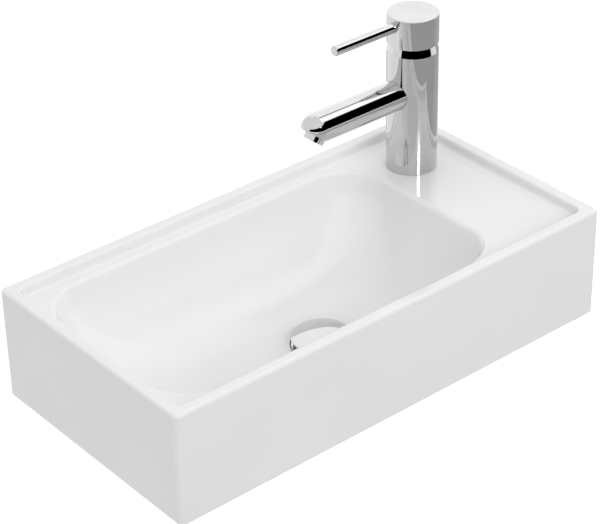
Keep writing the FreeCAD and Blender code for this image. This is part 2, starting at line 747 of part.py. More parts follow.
def make_cartridge():
    base_low = "(seat_height + base_standoff)"
    body = turned("cartridge_base", [
        ("0", base_low),
        ("cartridge_radius", base_low),
        ("cartridge_radius", "disc_seat"),
        ("0", "disc_seat"),
    ], TAP)
    for name, spot in PORTS.items():
        drill(body, f"{name}_port", "water_way_radius", "cartridge_base_height", spot + ("seat_height",))
        drill(body, f"{name}_seal_seat", "port_seal_radius + thread_gap", "port_seal_thickness",
              spot + ("seat_height",))

    seals = []
    for name, (x, y) in PORTS.items():
        outer = doc.addObject("Part::Cylinder", f"{name}_seal_outside")
        inner = doc.addObject("Part::Cylinder", f"{name}_seal_bore")
        for item, radius in ((outer, "port_seal_radius"), (inner, "port_seal_bore")):
            bind(item, "Radius", radius)
            bind(item, "Height", "port_seal_thickness")
            place(item, (f"tap_x + ({x})", f"tap_y + ({y})", "deck_level + seat_height"))
        seal = doc.addObject("Part::Cut", f"{name}_seal")
        seal.Base = outer
        seal.Tool = inner
        seals.append(seal)
    group = doc.addObject("Part::Compound", "cartridge_seals")
    group.Links = seals
    sub_parts.append(group)

    disc = turned("fixed_disc", [
        ("0", "disc_seat"),
        ("fixed_disc_radius", "disc_seat"),
        ("fixed_disc_radius", "disc_seat + fixed_disc_thickness"),
        ("0", "disc_seat + fixed_disc_thickness"),
    ], TAP)
    for name, spot in PORTS.items():
        drill(disc, f"{name}_disc_port", "water_way_radius", "fixed_disc_thickness", spot + ("disc_seat",))

    slider = ("tap_x + moving_disc_offset", "tap_y", "deck_level")
    disc = turned("moving_disc", [
        ("0", "disc_face"),
        ("moving_disc_radius", "disc_face"),
        ("moving_disc_radius", "carrier_seat"),
        ("0", "carrier_seat"),
    ], slider)
    slot(disc, "disc_channel",
         ("-disc_channel_length / 2", "-disc_channel_width / 2", "disc_face - overrun"),
         ("disc_channel_length / 2", "disc_channel_width / 2", "disc_face + disc_channel_depth"))

    carrier = turned("disc_carrier", [
        ("0", "carrier_seat"),
        ("moving_disc_radius", "carrier_seat"),
        ("moving_disc_radius", "carrier_top"),
        ("0", "carrier_top"),
    ], slider)
    drill(carrier, "carrier_socket", "carrier_socket_radius", "carrier_thickness",
          ("-moving_disc_offset", "0", "carrier_seat"))

    inside = "(fixed_disc_radius + cartridge_gap)"
    neck_hole = "(rotor_neck_radius + cartridge_gap)"
    lip_underside = "(seat_height + housing_top - housing_lip)"
    turned("cartridge_housing", [
        (inside, "disc_seat"),
        ("cartridge_radius", "disc_seat"),
        ("cartridge_radius", "nut_seat"),
        ("housing_neck_radius", "nut_seat"),
        ("housing_neck_radius", "seat_height + housing_top"),
        (neck_hole, "seat_height + housing_top"),
        (neck_hole, lip_underside),
        ("rotor_bore", lip_underside),
        ("rotor_bore", "rotor_foot - cartridge_gap"),
        (inside, "rotor_foot - cartridge_gap"),
    ], TAP)

    half = "(stem_width / 2)"
    side = "(stem_width / 2 + slot_side)"
    rotor = turned("cartridge_rotor", [
        ("0", "rotor_foot"),
        ("rotor_radius", "rotor_foot"),
        ("rotor_radius", "rotor_shoulder"),
        ("rotor_neck_radius", "rotor_shoulder"),
        ("rotor_neck_radius", "rotor_top"),
        ("0", "rotor_top"),
    ], TAP)
    slot(rotor, "upper_slot",
         (f"-{half} - slot_front", f"-{side}", "pivot_level"),
         (f"{half} + slot_back", side, "rotor_top + overrun"))
    slot(rotor, "lower_slot",
         (f"-{half} - slot_foot", f"-{side}", "rotor_foot - overrun"),
         (f"{half} + slot_front", side, "pivot_level"))
    drill(rotor, "pin_hole", "pin_radius + pin_fit", "2 * (rotor_radius + overrun)",
          ("0", "rotor_radius + overrun", "pivot_level"), TO_FRONT)

    turned("stem_pin", [
        ("-pin_length / 2", "0"),
        ("-pin_length / 2", "pin_radius"),
        ("pin_length / 2", "pin_radius"),
        ("pin_length / 2", "0"),
    ], ("tap_x", "tap_y", "deck_level + pivot_level"), "rotation(vector(0; 0; 1); 90)", lying=True)

    nut = turned("cartridge_nut", [
        ("housing_neck_radius + cartridge_gap", "nut_seat"),
        ("chamber_radius - nut_thread_gap", "nut_seat"),
        ("chamber_radius - nut_thread_gap", "tap_height"),
        ("housing_neck_radius + cartridge_gap", "tap_height"),
    ], TAP)
    sketch = new_sketch(nut, "nut_head_outline", "XY_Plane", "tap_height")
    draw_outline(sketch, hexagon("nut_head_flats"))
    draw_circle(sketch, "0", "0", "housing_neck_radius + cartridge_gap")
    pad(nut, "nut_head", sketch, "nut_head_height")


# Handle

def make_handle():
    turned("tap_collar", [
        ("chamber_radius + cartridge_gap", "tap_height"),
        ("tap_radius", "tap_height"),
        ("tap_radius", "tap_height + collar_land"),
        ("collar_top_radius", "collar_top"),
        ("collar_hole_radius", "collar_top"),
        ("collar_hole_radius", "collar_top - collar_plate"),
        ("chamber_radius + cartridge_gap", "collar_top - collar_plate"),
    ], TAP)

    half = "(stem_width / 2)"
    stem = new_body("cartridge_stem", TAP)
    sketch = new_sketch(stem, "stem_section", "XY_Plane", "pivot_level - stem_foot")
    draw_outline(sketch, [(f"-{half}", f"-{half}"), (half, f"-{half}"), (half, half), (f"-{half}", half)])
    pad(stem, "stem_bar", sketch, "cap_boss_bottom + stem_entry - pivot_level + stem_foot")
    tail = new_sketch(stem, "tail_profile", "XZ_Plane")
    low = "(seat_height + stem_tail_end)"
    draw_outline(tail, [
        ("0", low),
        ("stem_tail_radius", f"{low} + stem_tail_radius", "left", "stem_tail_radius"),
        ("stem_tail_radius", "pivot_level"),
        ("0", "pivot_level"),
    ])
    turn = stem.newObject("PartDesign::Revolution", "stem_tail")
    turn.Profile = tail
    turn.ReferenceAxis = (tail, ["V_Axis"])
    drill(stem, "stem_eye", "pin_radius + pin_running_fit", "stem_width + 2 * overrun",
          ("0", f"{half} + overrun", "pivot_level"), TO_FRONT)

    inside = "(tap_radius - cap_wall)"
    cap = turned("handle_cap", [
        ("0", "cap_boss_bottom"),
        ("cap_boss_radius", "cap_boss_bottom"),
        ("cap_boss_radius", "cap_roof"),
        (inside, "cap_roof"),
        (inside, "cap_bottom"),
        ("tap_radius", "cap_bottom"),
        ("tap_radius", "cap_top - cap_edge_radius"),
        ("tap_radius - cap_edge_radius", "cap_top", "left", "cap_edge_radius"),
        ("0", "cap_top"),
    ], TAP)
    wide = "(stem_width / 2 + stem_socket_gap)"
    slot(cap, "stem_socket",
         (f"-{wide}", f"-{wide}", "cap_boss_bottom - overrun"),
         (wide, wide, "cap_boss_bottom + stem_entry"))
    drill(cap, "lever_socket_cut", "lever_radius + stem_socket_gap", "tap_radius",
          ("-lever_seat", "0", "lever_level"), TO_LEFT)
    drill(cap, "lever_tenon_bore", "lever_tenon_radius + stem_socket_gap", "lever_tenon_length",
          ("lever_tenon_length - lever_seat", "0", "lever_level"), TO_LEFT)
    drill(cap, "grub_bore", "grub_radius + stem_socket_gap", "tap_radius",
          (half, "0", "grub_level"), TO_RIGHT)

    turned("lever", [
        ("-lever_length", "0"),
        ("-lever_length", "lever_radius - lever_tip_radius"),
        ("lever_tip_radius - lever_length", "lever_radius", "right", "lever_tip_radius"),
        ("-lever_seat", "lever_radius"),
        ("-lever_seat", "lever_tenon_radius"),
        ("lever_tenon_length - lever_seat", "lever_tenon_radius"),
        ("lever_tenon_length - lever_seat", "0"),
    ], ("tap_x", "tap_y", "deck_level + lever_level"), lying=True)

    grub = new_body("grub_screw", (f"tap_x + {half}", "tap_y", "deck_level + grub_level"), TO_RIGHT)
    sketch = new_sketch(grub, "grub_section", "XY_Plane")
    draw_circle(sketch, "0", "0", "grub_radius")
    pad(grub, "grub_shank", sketch, f"cap_boss_radius - {half}")
    key = new_sketch(grub, "grub_key", "XY_Plane", f"cap_boss_radius - {half}")
    draw_outline(key, hexagon("grub_key_flats"))
    pocket(grub, "grub_key_hole", key, "grub_key_depth")


# Push-button waste, with heights above the basin's underside

DRAIN = ("drain_x", "drain_y", "-fixing_height")


def make_waste():
    web_top, web_low = "(-web_drop)", "(-web_drop - web_thickness)"
    hub = "(sleeve_stud_radius + thread_gap)"
    body = turned("waste_body", [
        ("tail_bore_radius", "-tail_drop"),
        ("tail_radius", "-tail_drop"),
        ("tail_radius", "relief_low"),
        ("relief_radius", "relief_low"),
        ("relief_radius", "relief_high"),
        ("tail_radius", "relief_high"),
        ("tail_radius", "flange_underside"),
        ("flange_radius", "flange_underside"),
        ("flange_radius", "drain_height - flange_edge_radius"),
        ("flange_radius - flange_edge_radius", "drain_height", "left", "flange_edge_radius"),
        ("tail_bore_radius + mouth_flare", "drain_height"),
        ("tail_bore_radius", "drain_height - mouth_flare"),
        ("tail_bore_radius", web_top),
        (hub, web_top),
        (hub, web_low),
        ("tail_bore_radius", web_low),
    ], DRAIN)
    sketch = new_sketch(body, "web_opening", "XY_Plane", web_top)
    half, outer = "(web_opening_angle / 2)", "(tail_bore_radius - web_rim)"
    draw_outline(sketch, [
        (f"web_hub_radius * cos({half})", f"-web_hub_radius * sin({half})", "right", "web_hub_radius"),
        (f"{outer} * cos({half})", f"-{outer} * sin({half})"),
        (f"{outer} * cos({half})", f"{outer} * sin({half})", "left", outer),
        (f"web_hub_radius * cos({half})", f"web_hub_radius * sin({half})"),
    ])
    opening = pocket(body, "web_cut", sketch, "web_thickness")
    around(body, "web_openings", opening, WEB_ARMS)

    ring("flange_seal", "washer_bore", "flange_radius", "drain_seat", "flange_underside", DRAIN)
    ring("lower_seal", "washer_bore", "lower_seal_radius", "0", "drain_boss_height", DRAIN)
    ring("slip_washer", "washer_bore", "lower_seal_radius", "slip_washer_seat", "0", DRAIN)
    nut = new_body("waste_backnut", DRAIN)
    sketch = new_sketch(nut, "backnut_outline", "XY_Plane", "slip_washer_seat - backnut_height")
    draw_outline(sketch, hexagon("backnut_flats"))
    draw_circle(sketch, "0", "0", "tail_radius + thread_gap")
    pad(nut, "backnut_block", sketch, "backnut_height")

    rod_hole = "(plunger_rod_radius + plunger_gap)"
    turned("click_sleeve", [
        ("0", "sleeve_foot - web_thickness"),
        ("sleeve_stud_radius", "sleeve_foot - web_thickness"),
        ("sleeve_stud_radius", "sleeve_foot"),
        ("sleeve_radius", "sleeve_foot"),
        ("sleeve_radius", "sleeve_top"),
        (rod_hole, "sleeve_top"),
        (rod_hole, "sleeve_top - sleeve_neck"),
        ("sleeve_bore_radius", "sleeve_top - sleeve_neck"),
        ("sleeve_bore_radius", "spring_foot"),
        ("0", "spring_foot"),
    ], DRAIN)


def make_plug():
    boss_low = "(plug_underside - plug_boss_drop)"
    thread_end = f"({boss_low} + plug_thread_depth)"
    turned("plunger", [
        ("0", "plunger_foot"),
        ("plunger_head_radius", "plunger_foot"),
        ("plunger_head_radius", "plunger_top"),
        ("plunger_rod_radius", "plunger_top"),
        ("plunger_rod_radius", thread_end),
        ("0", thread_end),
    ], DRAIN)
    spigot_low = "(plug_underside - spigot_drop)"
    seal_low = f"({spigot_low} + spigot_lip)"
    thread = "(plunger_rod_radius + thread_gap)"
    turned("plug_cap", [
        ("0", thread_end),
        (thread, thread_end),
        (thread, boss_low),
        ("plug_boss_radius", boss_low),
        ("plug_boss_radius", "plug_underside"),
        ("spigot_bore_radius", "plug_underside"),
        ("spigot_bore_radius", spigot_low),
        ("spigot_radius + spigot_lip", spigot_low),
        ("spigot_radius + spigot_lip", seal_low),
        ("spigot_radius", seal_low),
        ("spigot_radius", "plug_underside"),
        ("plug_radius - plug_rim_chamfer", "plug_underside"),
        ("plug_radius", "plug_underside + plug_rim_chamfer"),
        ("plug_radius", "plug_rim_top"),
        ("0", "plug_rim_top + plug_crown", "left", "plug_crown_radius"),
    ], DRAIN)
    ring("plug_seal", "spigot_radius + plug_seal_gap", "plug_seal_radius", seal_low, "plug_underside", DRAIN)


# Two arcs from one point and direction to another, meeting smoothly, as wire edges.
def biarc(start, leave, finish, arrive):
    span = finish - start
    along = span.dot(leave + arrive)
    curl = 2 * (1 - leave.dot(arrive))
    reach = (-along + math.sqrt(along ** 2 + curl * span.dot(span))) / curl
    joint = (start + leave * reach + finish - arrive * reach) * 0.5
    edges = []
    for first, way, last in ((start, leave, joint), (finish, -arrive, joint)):
        chord = last - first
        normal = way.cross(chord).normalize()
        inward = normal.cross(way)
        radius = chord.dot(chord) / (2 * chord.dot(inward))
        centre = first + inward * radius
        middle = centre + ((first + last) * 0.5 - centre).normalize() * radius
        edges.append(Part.Arc(first, middle, last).toShape())
    return edges


# The coil spring between the sleeve's floor and the plunger, one unbroken wire.
def make_spring():
    wire = value("spring_wire_radius")
    coil = value("sleeve_bore_radius - spring_gap - spring_wire_radius")
    low = value("spring_foot") + wire
    rise = value("plunger_foot") - wire - low

    def point(turn):
        angle = turn * 2 * math.pi
        height = low + rise * turn / SPRING_TURNS
        return FreeCAD.Vector(coil * math.cos(angle), coil * math.sin(angle), height)

    def heading(turn):
        angle = turn * 2 * math.pi
        climb = rise / (SPRING_TURNS * 2 * math.pi * coil)
        return FreeCAD.Vector(-math.sin(angle), math.cos(angle), climb).normalize()

    edges = []
    for quarter in range(4 * SPRING_TURNS):
        start, finish = quarter / 4, (quarter + 1) / 4
        edges += biarc(point(start), heading(start), point(finish), heading(finish))
    path = Part.Wire(edges)
    section = Part.Wire(Part.Circle(point(0), heading(0), wire).toShape())
    spring = doc.addObject("Part::Feature", "click_spring")
    spring.Shape = path.makePipeShell([section], True, False)
    place(spring, DRAIN)
    sub_parts.append(spring)
    last = SPRING_POINTS_PER_TURN * SPRING_TURNS
    track = [point(number / SPRING_POINTS_PER_TURN) for number in range(last + 1)]
    half_turn = SPRING_POINTS_PER_TURN // 2
    spread = min(
        (spot - other).Length for number, spot in enumerate(track) for other in track[number + half_turn:])
    print("click_spring: least gap to itself", round(spread - 2 * wire, 2))


make_basin()
make_tap_body()
make_spout()
make_aerator()
make_tap_fixing()
make_cartridge()
make_handle()
make_waste()
make_plug()
make_spring()

# Checks and files

doc.recompute()
failed = [item.Label for item in doc.Objects if {"Invalid", "Error"} & set(item.State)]
failed += [item.Label for item in sub_parts if item.Shape.isNull() or not item.Shape.isValid()]
if failed:
    raise RuntimeError(f"not built: {failed}")
os.makedirs("parts", exist_ok=True)
for item in sub_parts:
    item.Shape.exportStep(f"parts/{item.Label}.step")
    print(item.Label, len(item.Shape.Solids), round(item.Shape.Volume), item.Shape.BoundBox)
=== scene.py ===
import bmesh
import bpy
import json
import math
from mathutils import Matrix, Vector


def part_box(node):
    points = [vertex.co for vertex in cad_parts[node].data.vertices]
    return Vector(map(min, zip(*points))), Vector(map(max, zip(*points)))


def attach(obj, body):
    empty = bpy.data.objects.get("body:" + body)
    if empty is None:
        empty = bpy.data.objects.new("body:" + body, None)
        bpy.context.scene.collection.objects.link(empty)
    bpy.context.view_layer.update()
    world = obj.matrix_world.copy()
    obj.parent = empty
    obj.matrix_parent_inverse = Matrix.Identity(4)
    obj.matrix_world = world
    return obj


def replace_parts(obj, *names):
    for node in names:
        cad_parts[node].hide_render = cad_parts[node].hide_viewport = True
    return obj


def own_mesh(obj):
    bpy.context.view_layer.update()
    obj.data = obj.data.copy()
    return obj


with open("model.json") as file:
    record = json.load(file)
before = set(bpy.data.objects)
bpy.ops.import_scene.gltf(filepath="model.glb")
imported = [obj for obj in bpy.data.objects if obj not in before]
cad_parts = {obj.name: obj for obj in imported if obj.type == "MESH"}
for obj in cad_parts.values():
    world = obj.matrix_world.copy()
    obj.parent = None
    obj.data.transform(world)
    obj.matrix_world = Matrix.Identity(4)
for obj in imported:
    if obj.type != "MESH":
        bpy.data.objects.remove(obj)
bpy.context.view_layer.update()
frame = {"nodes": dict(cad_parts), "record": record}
scene = bpy.context.scene


# camera, stood where the photograph was taken from

cameraSet = {
    "eye": (-1.0663, -1.4164, 1.0958),
    "tiltUp": 57.963,  # from looking straight down, in degrees
    "turn": -39.436,
    "roll": -1.154,
    "lens": 128.79,
    "sensor": 36.0,
    "clip": (0.05, 80.0),
}


def addCamera(s):
    data = bpy.data.cameras.new("photoCamera")
    data.sensor_fit = "HORIZONTAL"
    data.sensor_width = s["sensor"]
    data.lens = s["lens"]
    data.clip_start, data.clip_end = s["clip"]
    camera = bpy.data.objects.new("photoCamera", data)
    turn = Matrix.Rotation(math.radians(s["turn"]), 4, "Z")
    tilt = Matrix.Rotation(math.radians(s["tiltUp"]), 4, "X")
    roll = Matrix.Rotation(math.radians(s["roll"]), 4, "Z")
    camera.matrix_world = Matrix.Translation(s["eye"]) @ turn @ tilt @ roll
    scene.collection.objects.link(camera)
    scene.camera = camera


addCamera(cameraSet)
print("camera: stands at", cameraSet["eye"])


# material helpers

noiseRange = (0.3, 0.7)  # where nearly all of a noise texture's values lie


def freshMaterial(name):
    mat = bpy.data.materials.new(name)
    mat.use_nodes = True
    tree = mat.node_tree
    return mat, tree, tree.nodes["Principled BSDF"]


def bareMaterial(name):  # with an output and no shader yet
    mat = bpy.data.materials.new(name)
    mat.use_nodes = True
    tree = mat.node_tree
    tree.nodes.clear()
    return mat, tree, tree.nodes.new("ShaderNodeOutputMaterial")


def place(tree):  # texture space in metres
    return tree.nodes.new("ShaderNodeTexCoord").outputs["Object"]


def splitAxes(tree, where):
    axes = tree.nodes.new("ShaderNodeSeparateXYZ")
    tree.links.new(where, axes.inputs[0])
    return axes.outputs


def combine(tree, operation, first, second):
    both = tree.nodes.new("ShaderNodeMath")
    both.operation = operation
    tree.links.new(first, both.inputs[0])
    tree.links.new(second, both.inputs[1])
    return both.outputs[0]


def mapRange(tree, value, start, end, low=0.0, high=1.0):
    span = tree.nodes.new("ShaderNodeMapRange")
    for name, number in (("From Min", start), ("From Max", end), ("To Min", low), ("To Max", high)):
        span.inputs[name].default_value = number
    tree.links.new(value, span.inputs["Value"])
    return span.outputs["Result"]


def pastLine(tree, value, line, run):  # 0 before the line, 1 once the run is over
    return mapRange(tree, value, line, line + run)


def noise(tree, where, scale, detail=3.0):
    tex = tree.nodes.new("ShaderNodeTexNoise")
    tex.inputs["Scale"].default_value = scale
    tex.inputs["Detail"].default_value = detail
    tree.links.new(where, tex.inputs["Vector"])
    return tex.outputs["Fac"]


def twoTone(tree, fac, dark, light, low=0.35, high=0.65):
    ramp = tree.nodes.new("ShaderNodeValToRGB")
    first, last = ramp.color_ramp.elements
    first.position, first.color = low, (*dark, 1.0)
    last.position, last.color = high, (*light, 1.0)
    tree.links.new(fac, ramp.inputs["Fac"])
    return ramp.outputs["Color"]


def bumpOn(tree, fac, strength, height, under=None):
    bump = tree.nodes.new("ShaderNodeBump")
    bump.inputs["Strength"].default_value = strength
    bump.inputs["Distance"].default_value = height
    tree.links.new(fac, bump.inputs["Height"])
    if under is not None:
        tree.links.new(under, bump.inputs["Normal"])
    return bump.outputs["Normal"]


def blendBy(tree, kind, mask, under, over):
    mix = tree.nodes.new("ShaderNodeMix")
    mix.data_type = kind
    wanted = "VALUE" if kind == "FLOAT" else kind
    first, second = [p for p in mix.inputs if p.name in ("A", "B") and p.type == wanted]
    tree.links.new(mask, mix.inputs["Factor"])
    tree.links.new(under, first)
    second.default_value = over
    return next(p for p in mix.outputs if p.type == wanted)


# finishes, one for each material slot

finishes = {
    "glaze": {
        "dark": (0.868, 0.870, 0.868), "light": (0.888, 0.889, 0.886), "cloud": 9.0,
        "rough": (0.045, 0.085), "roughScale": 30.0, "ior": 1.5,
        "waveScale": 14.0, "waveHeight": 0.0004, "waveStrength": 0.05,
        "pinScale": 900.0, "pinHeight": 0.00003, "pinStrength": 0.02,
        "biscuit": {
            "colour": (0.80, 0.775, 0.73), "rough": 0.7, "foot": -0.0486, "back": -0.0004, "run": 0.0002,
        },
        "washed": {
            "low": (-0.232, -0.238), "high": (0.15, -0.022), "edge": 0.001,
            "rim": 0.05, "depth": 0.07, "rough": 0.2,
        },
    },
    "chrome": {
        "dark": (0.60, 0.60, 0.602), "light": (0.64, 0.64, 0.642), "cloud": 40.0, "metal": 1.0,
        "rough": (0.025, 0.055), "roughScale": 160.0,
        "waveScale": 45.0, "waveHeight": 0.0001, "waveStrength": 0.02,
        "pinScale": 1500.0, "pinHeight": 0.00001, "pinStrength": 0.01,
    },
    "rubber": {
        "dark": (0.018, 0.018, 0.018), "light": (0.034, 0.033, 0.032), "cloud": 260.0,
        "rough": (0.62, 0.82), "roughScale": 500.0, "ior": 1.45,
        "waveScale": 300.0, "waveHeight": 0.0002, "waveStrength": 0.25,
        "pinScale": 2600.0, "pinHeight": 0.00005, "pinStrength": 0.35,
    },
    "disc_ceramic": {
        "dark": (0.76, 0.74, 0.69), "light": (0.86, 0.85, 0.81), "cloud": 700.0,
        "rough": (0.18, 0.32), "roughScale": 900.0, "ior": 1.6,
        "waveScale": 200.0, "waveHeight": 0.00005, "waveStrength": 0.1,
        "pinScale": 3000.0, "pinHeight": 0.00002, "pinStrength": 0.15,
    },
    "white_plastic": {
        "dark": (0.72, 0.72, 0.70), "light": (0.80, 0.80, 0.78), "cloud": 120.0,
        "rough": (0.38, 0.55), "roughScale": 700.0, "ior": 1.46,
        "waveScale": 90.0, "waveHeight": 0.0001, "waveStrength": 0.1,
        "pinScale": 2400.0, "pinHeight": 0.00004, "pinStrength": 0.3,
    },
    "grey_plastic": {
        "dark": (0.10, 0.105, 0.115), "light": (0.145, 0.15, 0.16), "cloud": 140.0,
        "rough": (0.42, 0.6), "roughScale": 700.0, "ior": 1.46,
        "waveScale": 90.0, "waveHeight": 0.0001, "waveStrength": 0.1,
        "pinScale": 2400.0, "pinHeight": 0.00004, "pinStrength": 0.3,
    },
    "steel": {
        "dark": (0.44, 0.44, 0.45), "light": (0.56, 0.56, 0.57), "cloud": 180.0, "metal": 1.0,
        "rough": (0.24, 0.4), "roughScale": 420.0,
        "waveScale": 160.0, "waveHeight": 0.00008, "waveStrength": 0.15,
        "pinScale": 2200.0, "pinHeight": 0.00003, "pinStrength": 0.25,
    },
    "brass": {
        "dark": (0.60, 0.43, 0.18), "light": (0.72, 0.54, 0.25), "cloud": 150.0, "metal": 1.0,
        "rough": (0.2, 0.34), "roughScale": 380.0,
        "waveScale": 140.0, "waveHeight": 0.00008, "waveStrength": 0.12,
        "pinScale": 2000.0, "pinHeight": 0.00003, "pinStrength": 0.2,
    },
}


# the foot and the back are wiped clean of glaze, because they touch the kiln shelf and the wall
def bareClay(tree, where, b):
    axes = splitAxes(tree, where)
    foot = pastLine(tree, axes["Z"], b["foot"], -b["run"])
    back = pastLine(tree, axes["Y"], b["back"], b["run"])
    return combine(tree, "MAXIMUM", foot, back)


# washing dulls the glaze inside the bowl, more so lower down
def insideBowl(tree, where, b):
    axes = splitAxes(tree, where)
    mask = pastLine(tree, axes["Z"], b["rim"], -b["depth"])
    for axis, low, high in zip("XY", b["low"], b["high"]):
        for line, run in ((low, b["edge"]), (high, -b["edge"])):
            mask = combine(tree, "MINIMUM", mask, pastLine(tree, axes[axis], line, run))
    return mask


def makeFinish(name, f):
    mat, tree, shader = freshMaterial(name)
    where = place(tree)
    colour = twoTone(tree, noise(tree, where, f["cloud"]), f["dark"], f["light"])
    rough = mapRange(tree, noise(tree, where, f["roughScale"], detail=5.0), *noiseRange, *f["rough"])
    if "washed" in f:
        rough = blendBy(tree, "FLOAT", insideBowl(tree, where, f["washed"]), rough, f["washed"]["rough"])
    if "biscuit" in f:
        mask = bareClay(tree, where, f["biscuit"])
        colour = blendBy(tree, "RGBA", mask, colour, (*f["biscuit"]["colour"], 1.0))
        rough = blendBy(tree, "FLOAT", mask, rough, f["biscuit"]["rough"])
    tree.links.new(colour, shader.inputs["Base Color"])
    tree.links.new(rough, shader.inputs["Roughness"])
    wave = bumpOn(tree, noise(tree, where, f["waveScale"]), f["waveStrength"], f["waveHeight"])
    pin = bumpOn(tree, noise(tree, where, f["pinScale"], detail=2.0), f["pinStrength"], f["pinHeight"], wave)
    tree.links.new(pin, shader.inputs["Normal"])
    shader.inputs["Metallic"].default_value = f.get("metal", 0.0)
    shader.inputs["IOR"].default_value = f.get("ior", 1.5)
    return mat


finish = {name: makeFinish(name, f) for name, f in finishes.items()}
print("finishes:", ", ".join(finish))

slotOf = {row["node"]: row["material_slot"] for row in frame["record"]["subparts"]}
for nodeName, obj in frame["nodes"].items():
    obj.data.materials.clear()
    obj.data.materials.append(finish[slotOf[nodeName]])
print("nodes: dressed")


# helpers for pieces

weldGap = 1e-6
sharpFrom = math.radians(32)
threadShape = {
    "foot": 0.46, "flat": 0.09,  # half widths, as shares of the pitch
    "least": 0.02,  # share of the height that is left at the ends
}


def middle(node):
    low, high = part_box(node)
    return (low[0] + high[0]) / 2, (low[1] + high[1]) / 2, low[2], high[2]


def newPiece(name, verts, faces, node):
    mesh = bpy.data.meshes.new(name)
    mesh.from_pydata(verts, [], faces)
    bm = bmesh.new()
    bm.from_mesh(mesh)
    bmesh.ops.remove_doubles(bm, verts=bm.verts, dist=weldGap)
    bmesh.ops.recalc_face_normals(bm, faces=bm.faces)
    bm.to_mesh(mesh)
    bm.free()
    mesh.shade_smooth()
    mesh.set_sharp_from_angle(angle=sharpFrom)
    piece = bpy.data.objects.new(name, mesh)
    scene.collection.objects.link(piece)
    piece.data.materials.append(finish[slotOf[node]])
    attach(piece, "basin")
    return piece


def turnedRings(profile, centre, count):  # a closed outline of (radius, height), turned about an upright axis
    verts, faces = [], []
    for k in range(count):
        c, s = math.cos(2 * math.pi * k / count), math.sin(2 * math.pi * k / count)
        verts += [(centre[0] + r * c, centre[1] + r * s, z) for r, z in profile]
    n = len(profile)
    sides = n if profile[0][0] else n - 1  # an outline that starts on the axis ends there too
    for k in range(count):
        a, b = k * n, (k + 1) % count * n
        faces += [(a + i, b + i, b + (i + 1) % n, a + (i + 1) % n) for i in range(sides)]
    return verts, faces


# a ridge wound upwards from low to high, fading into the core over its first and last half turn
def woundRidge(t, centre, low, high):
    turns = (high - low) / t["pitch"]
    total = int(turns * t["steps"])
    foot, flat = threadShape["foot"] * t["pitch"], threadShape["flat"] * t["pitch"]
    root, sunk = t["root"], t["root"] - t["sink"]
    verts, faces = [], []
    for k in range(total + 1):
        turn = k / t["steps"]
        c, s = math.cos(2 * math.pi * turn), math.sin(2 * math.pi * turn)
        full = min(1.0, 2 * turn, 2 * (turns - turn))
        z = low + t["pitch"] * turn
        crest = root + max(full, threadShape["least"]) * (t["crest"] - root)
        section = ((sunk, -foot), (root, -foot), (crest, -flat), (crest, flat), (root, foot), (sunk, foot))
        verts += [(centre[0] + r * c, centre[1] + r * s, z + rise) for r, rise in section]
        n = len(section)
        if k:
            a, b = n * (k - 1), n * k
            faces += [(a + i, b + i, b + (i + 1) % n, a + (i + 1) % n) for i in range(n)]
    faces += [tuple(range(n - 1, -1, -1)), tuple(range(n * total, n * total + n))]
    return verts, faces


# basin with its bowl drawn again: the walls run into the floor in one long sweep

bowlSet = {
    "node": "basin_body", "drainNode": "waste_body",
    "left": {"edge": -0.229, "draft": 0.010, "sweep": 0.085},
    "right": {"edge": 0.147, "draft": 0.010, "sweep": 0.078},
    "front": {"edge": -0.235, "draft": 0.010, "sweep": 0.032},
    "back": {"edge": -0.025, "draft": 0.026, "sweep": 0.062},
    "deck": 0.055, "corner": 0.046, "flatten": 1.25,
    "floorRound": 0.9, "roundLate": 7,  # the ends come near half circles, mostly low down
    "lip": 0.00495, "wallStart": 1.25,  # the walls begin this many lips down
    "lipRings": 6, "wallRings": 24, "floorRings": 10,
    "floor": -0.027, "fall": 0.02, "fallReach": 0.12,  # rise of the floor for each metre away from the drain
    "dish": 0.003, "dishReach": 0.034, "drainRim": 0.03295, "drainTop": -0.030,
    "deckGap": 1e-5, "rimGap": 1e-4,  # room for rounding where the old bowl is picked out
    "cornerSteps": 14, "longSteps": 40, "shortSteps": 16,
}


# points of a rounded rectangle with the way out of it, running anticlockwise from the right side's far end
def roundedOutline(s, left, right, front, back, radius):
    corners = ((right - radius, back - radius, 0), (left + radius, back - radius, 90),
               (left + radius, front + radius, 180), (right - radius, front + radius, 270))
    sides = (s["longSteps"], s["shortSteps"], s["longSteps"], s["shortSteps"])
    points = []
    for (x, y, start), (nextX, nextY, _), steps in zip(corners, corners[1:] + corners[:1], sides):
        for k in range(s["cornerSteps"]):
            a = math.radians(start + 90 * k / s["cornerSteps"])
            points.append((x + radius * math.cos(a), y + radius * math.sin(a), math.cos(a), math.sin(a)))
        a = math.radians(start + 90)
        for k in range(steps):
            share = k / steps
            points.append((x + (nextX - x) * share + radius * math.cos(a),
                           y + (nextY - y) * share + radius * math.sin(a), math.cos(a), math.sin(a)))
    return points


def drawnIn(s, step, swept):  # the bowl's outline once its walls have come in
    left, right, front, back = [s[side]["draft"] * step + s[side]["sweep"] * swept
                                for side in ("left", "right", "front", "back")]
    near, far = s["front"]["edge"] + front, s["back"]["edge"] - back
    roundest = s["floorRound"] * (far - near) / 2
    radius = s["corner"] + (roundest - s["corner"]) * step ** s["roundLate"]
    return roundedOutline(s, s["left"]["edge"] + left, s["right"]["edge"] - right, near, far, radius)


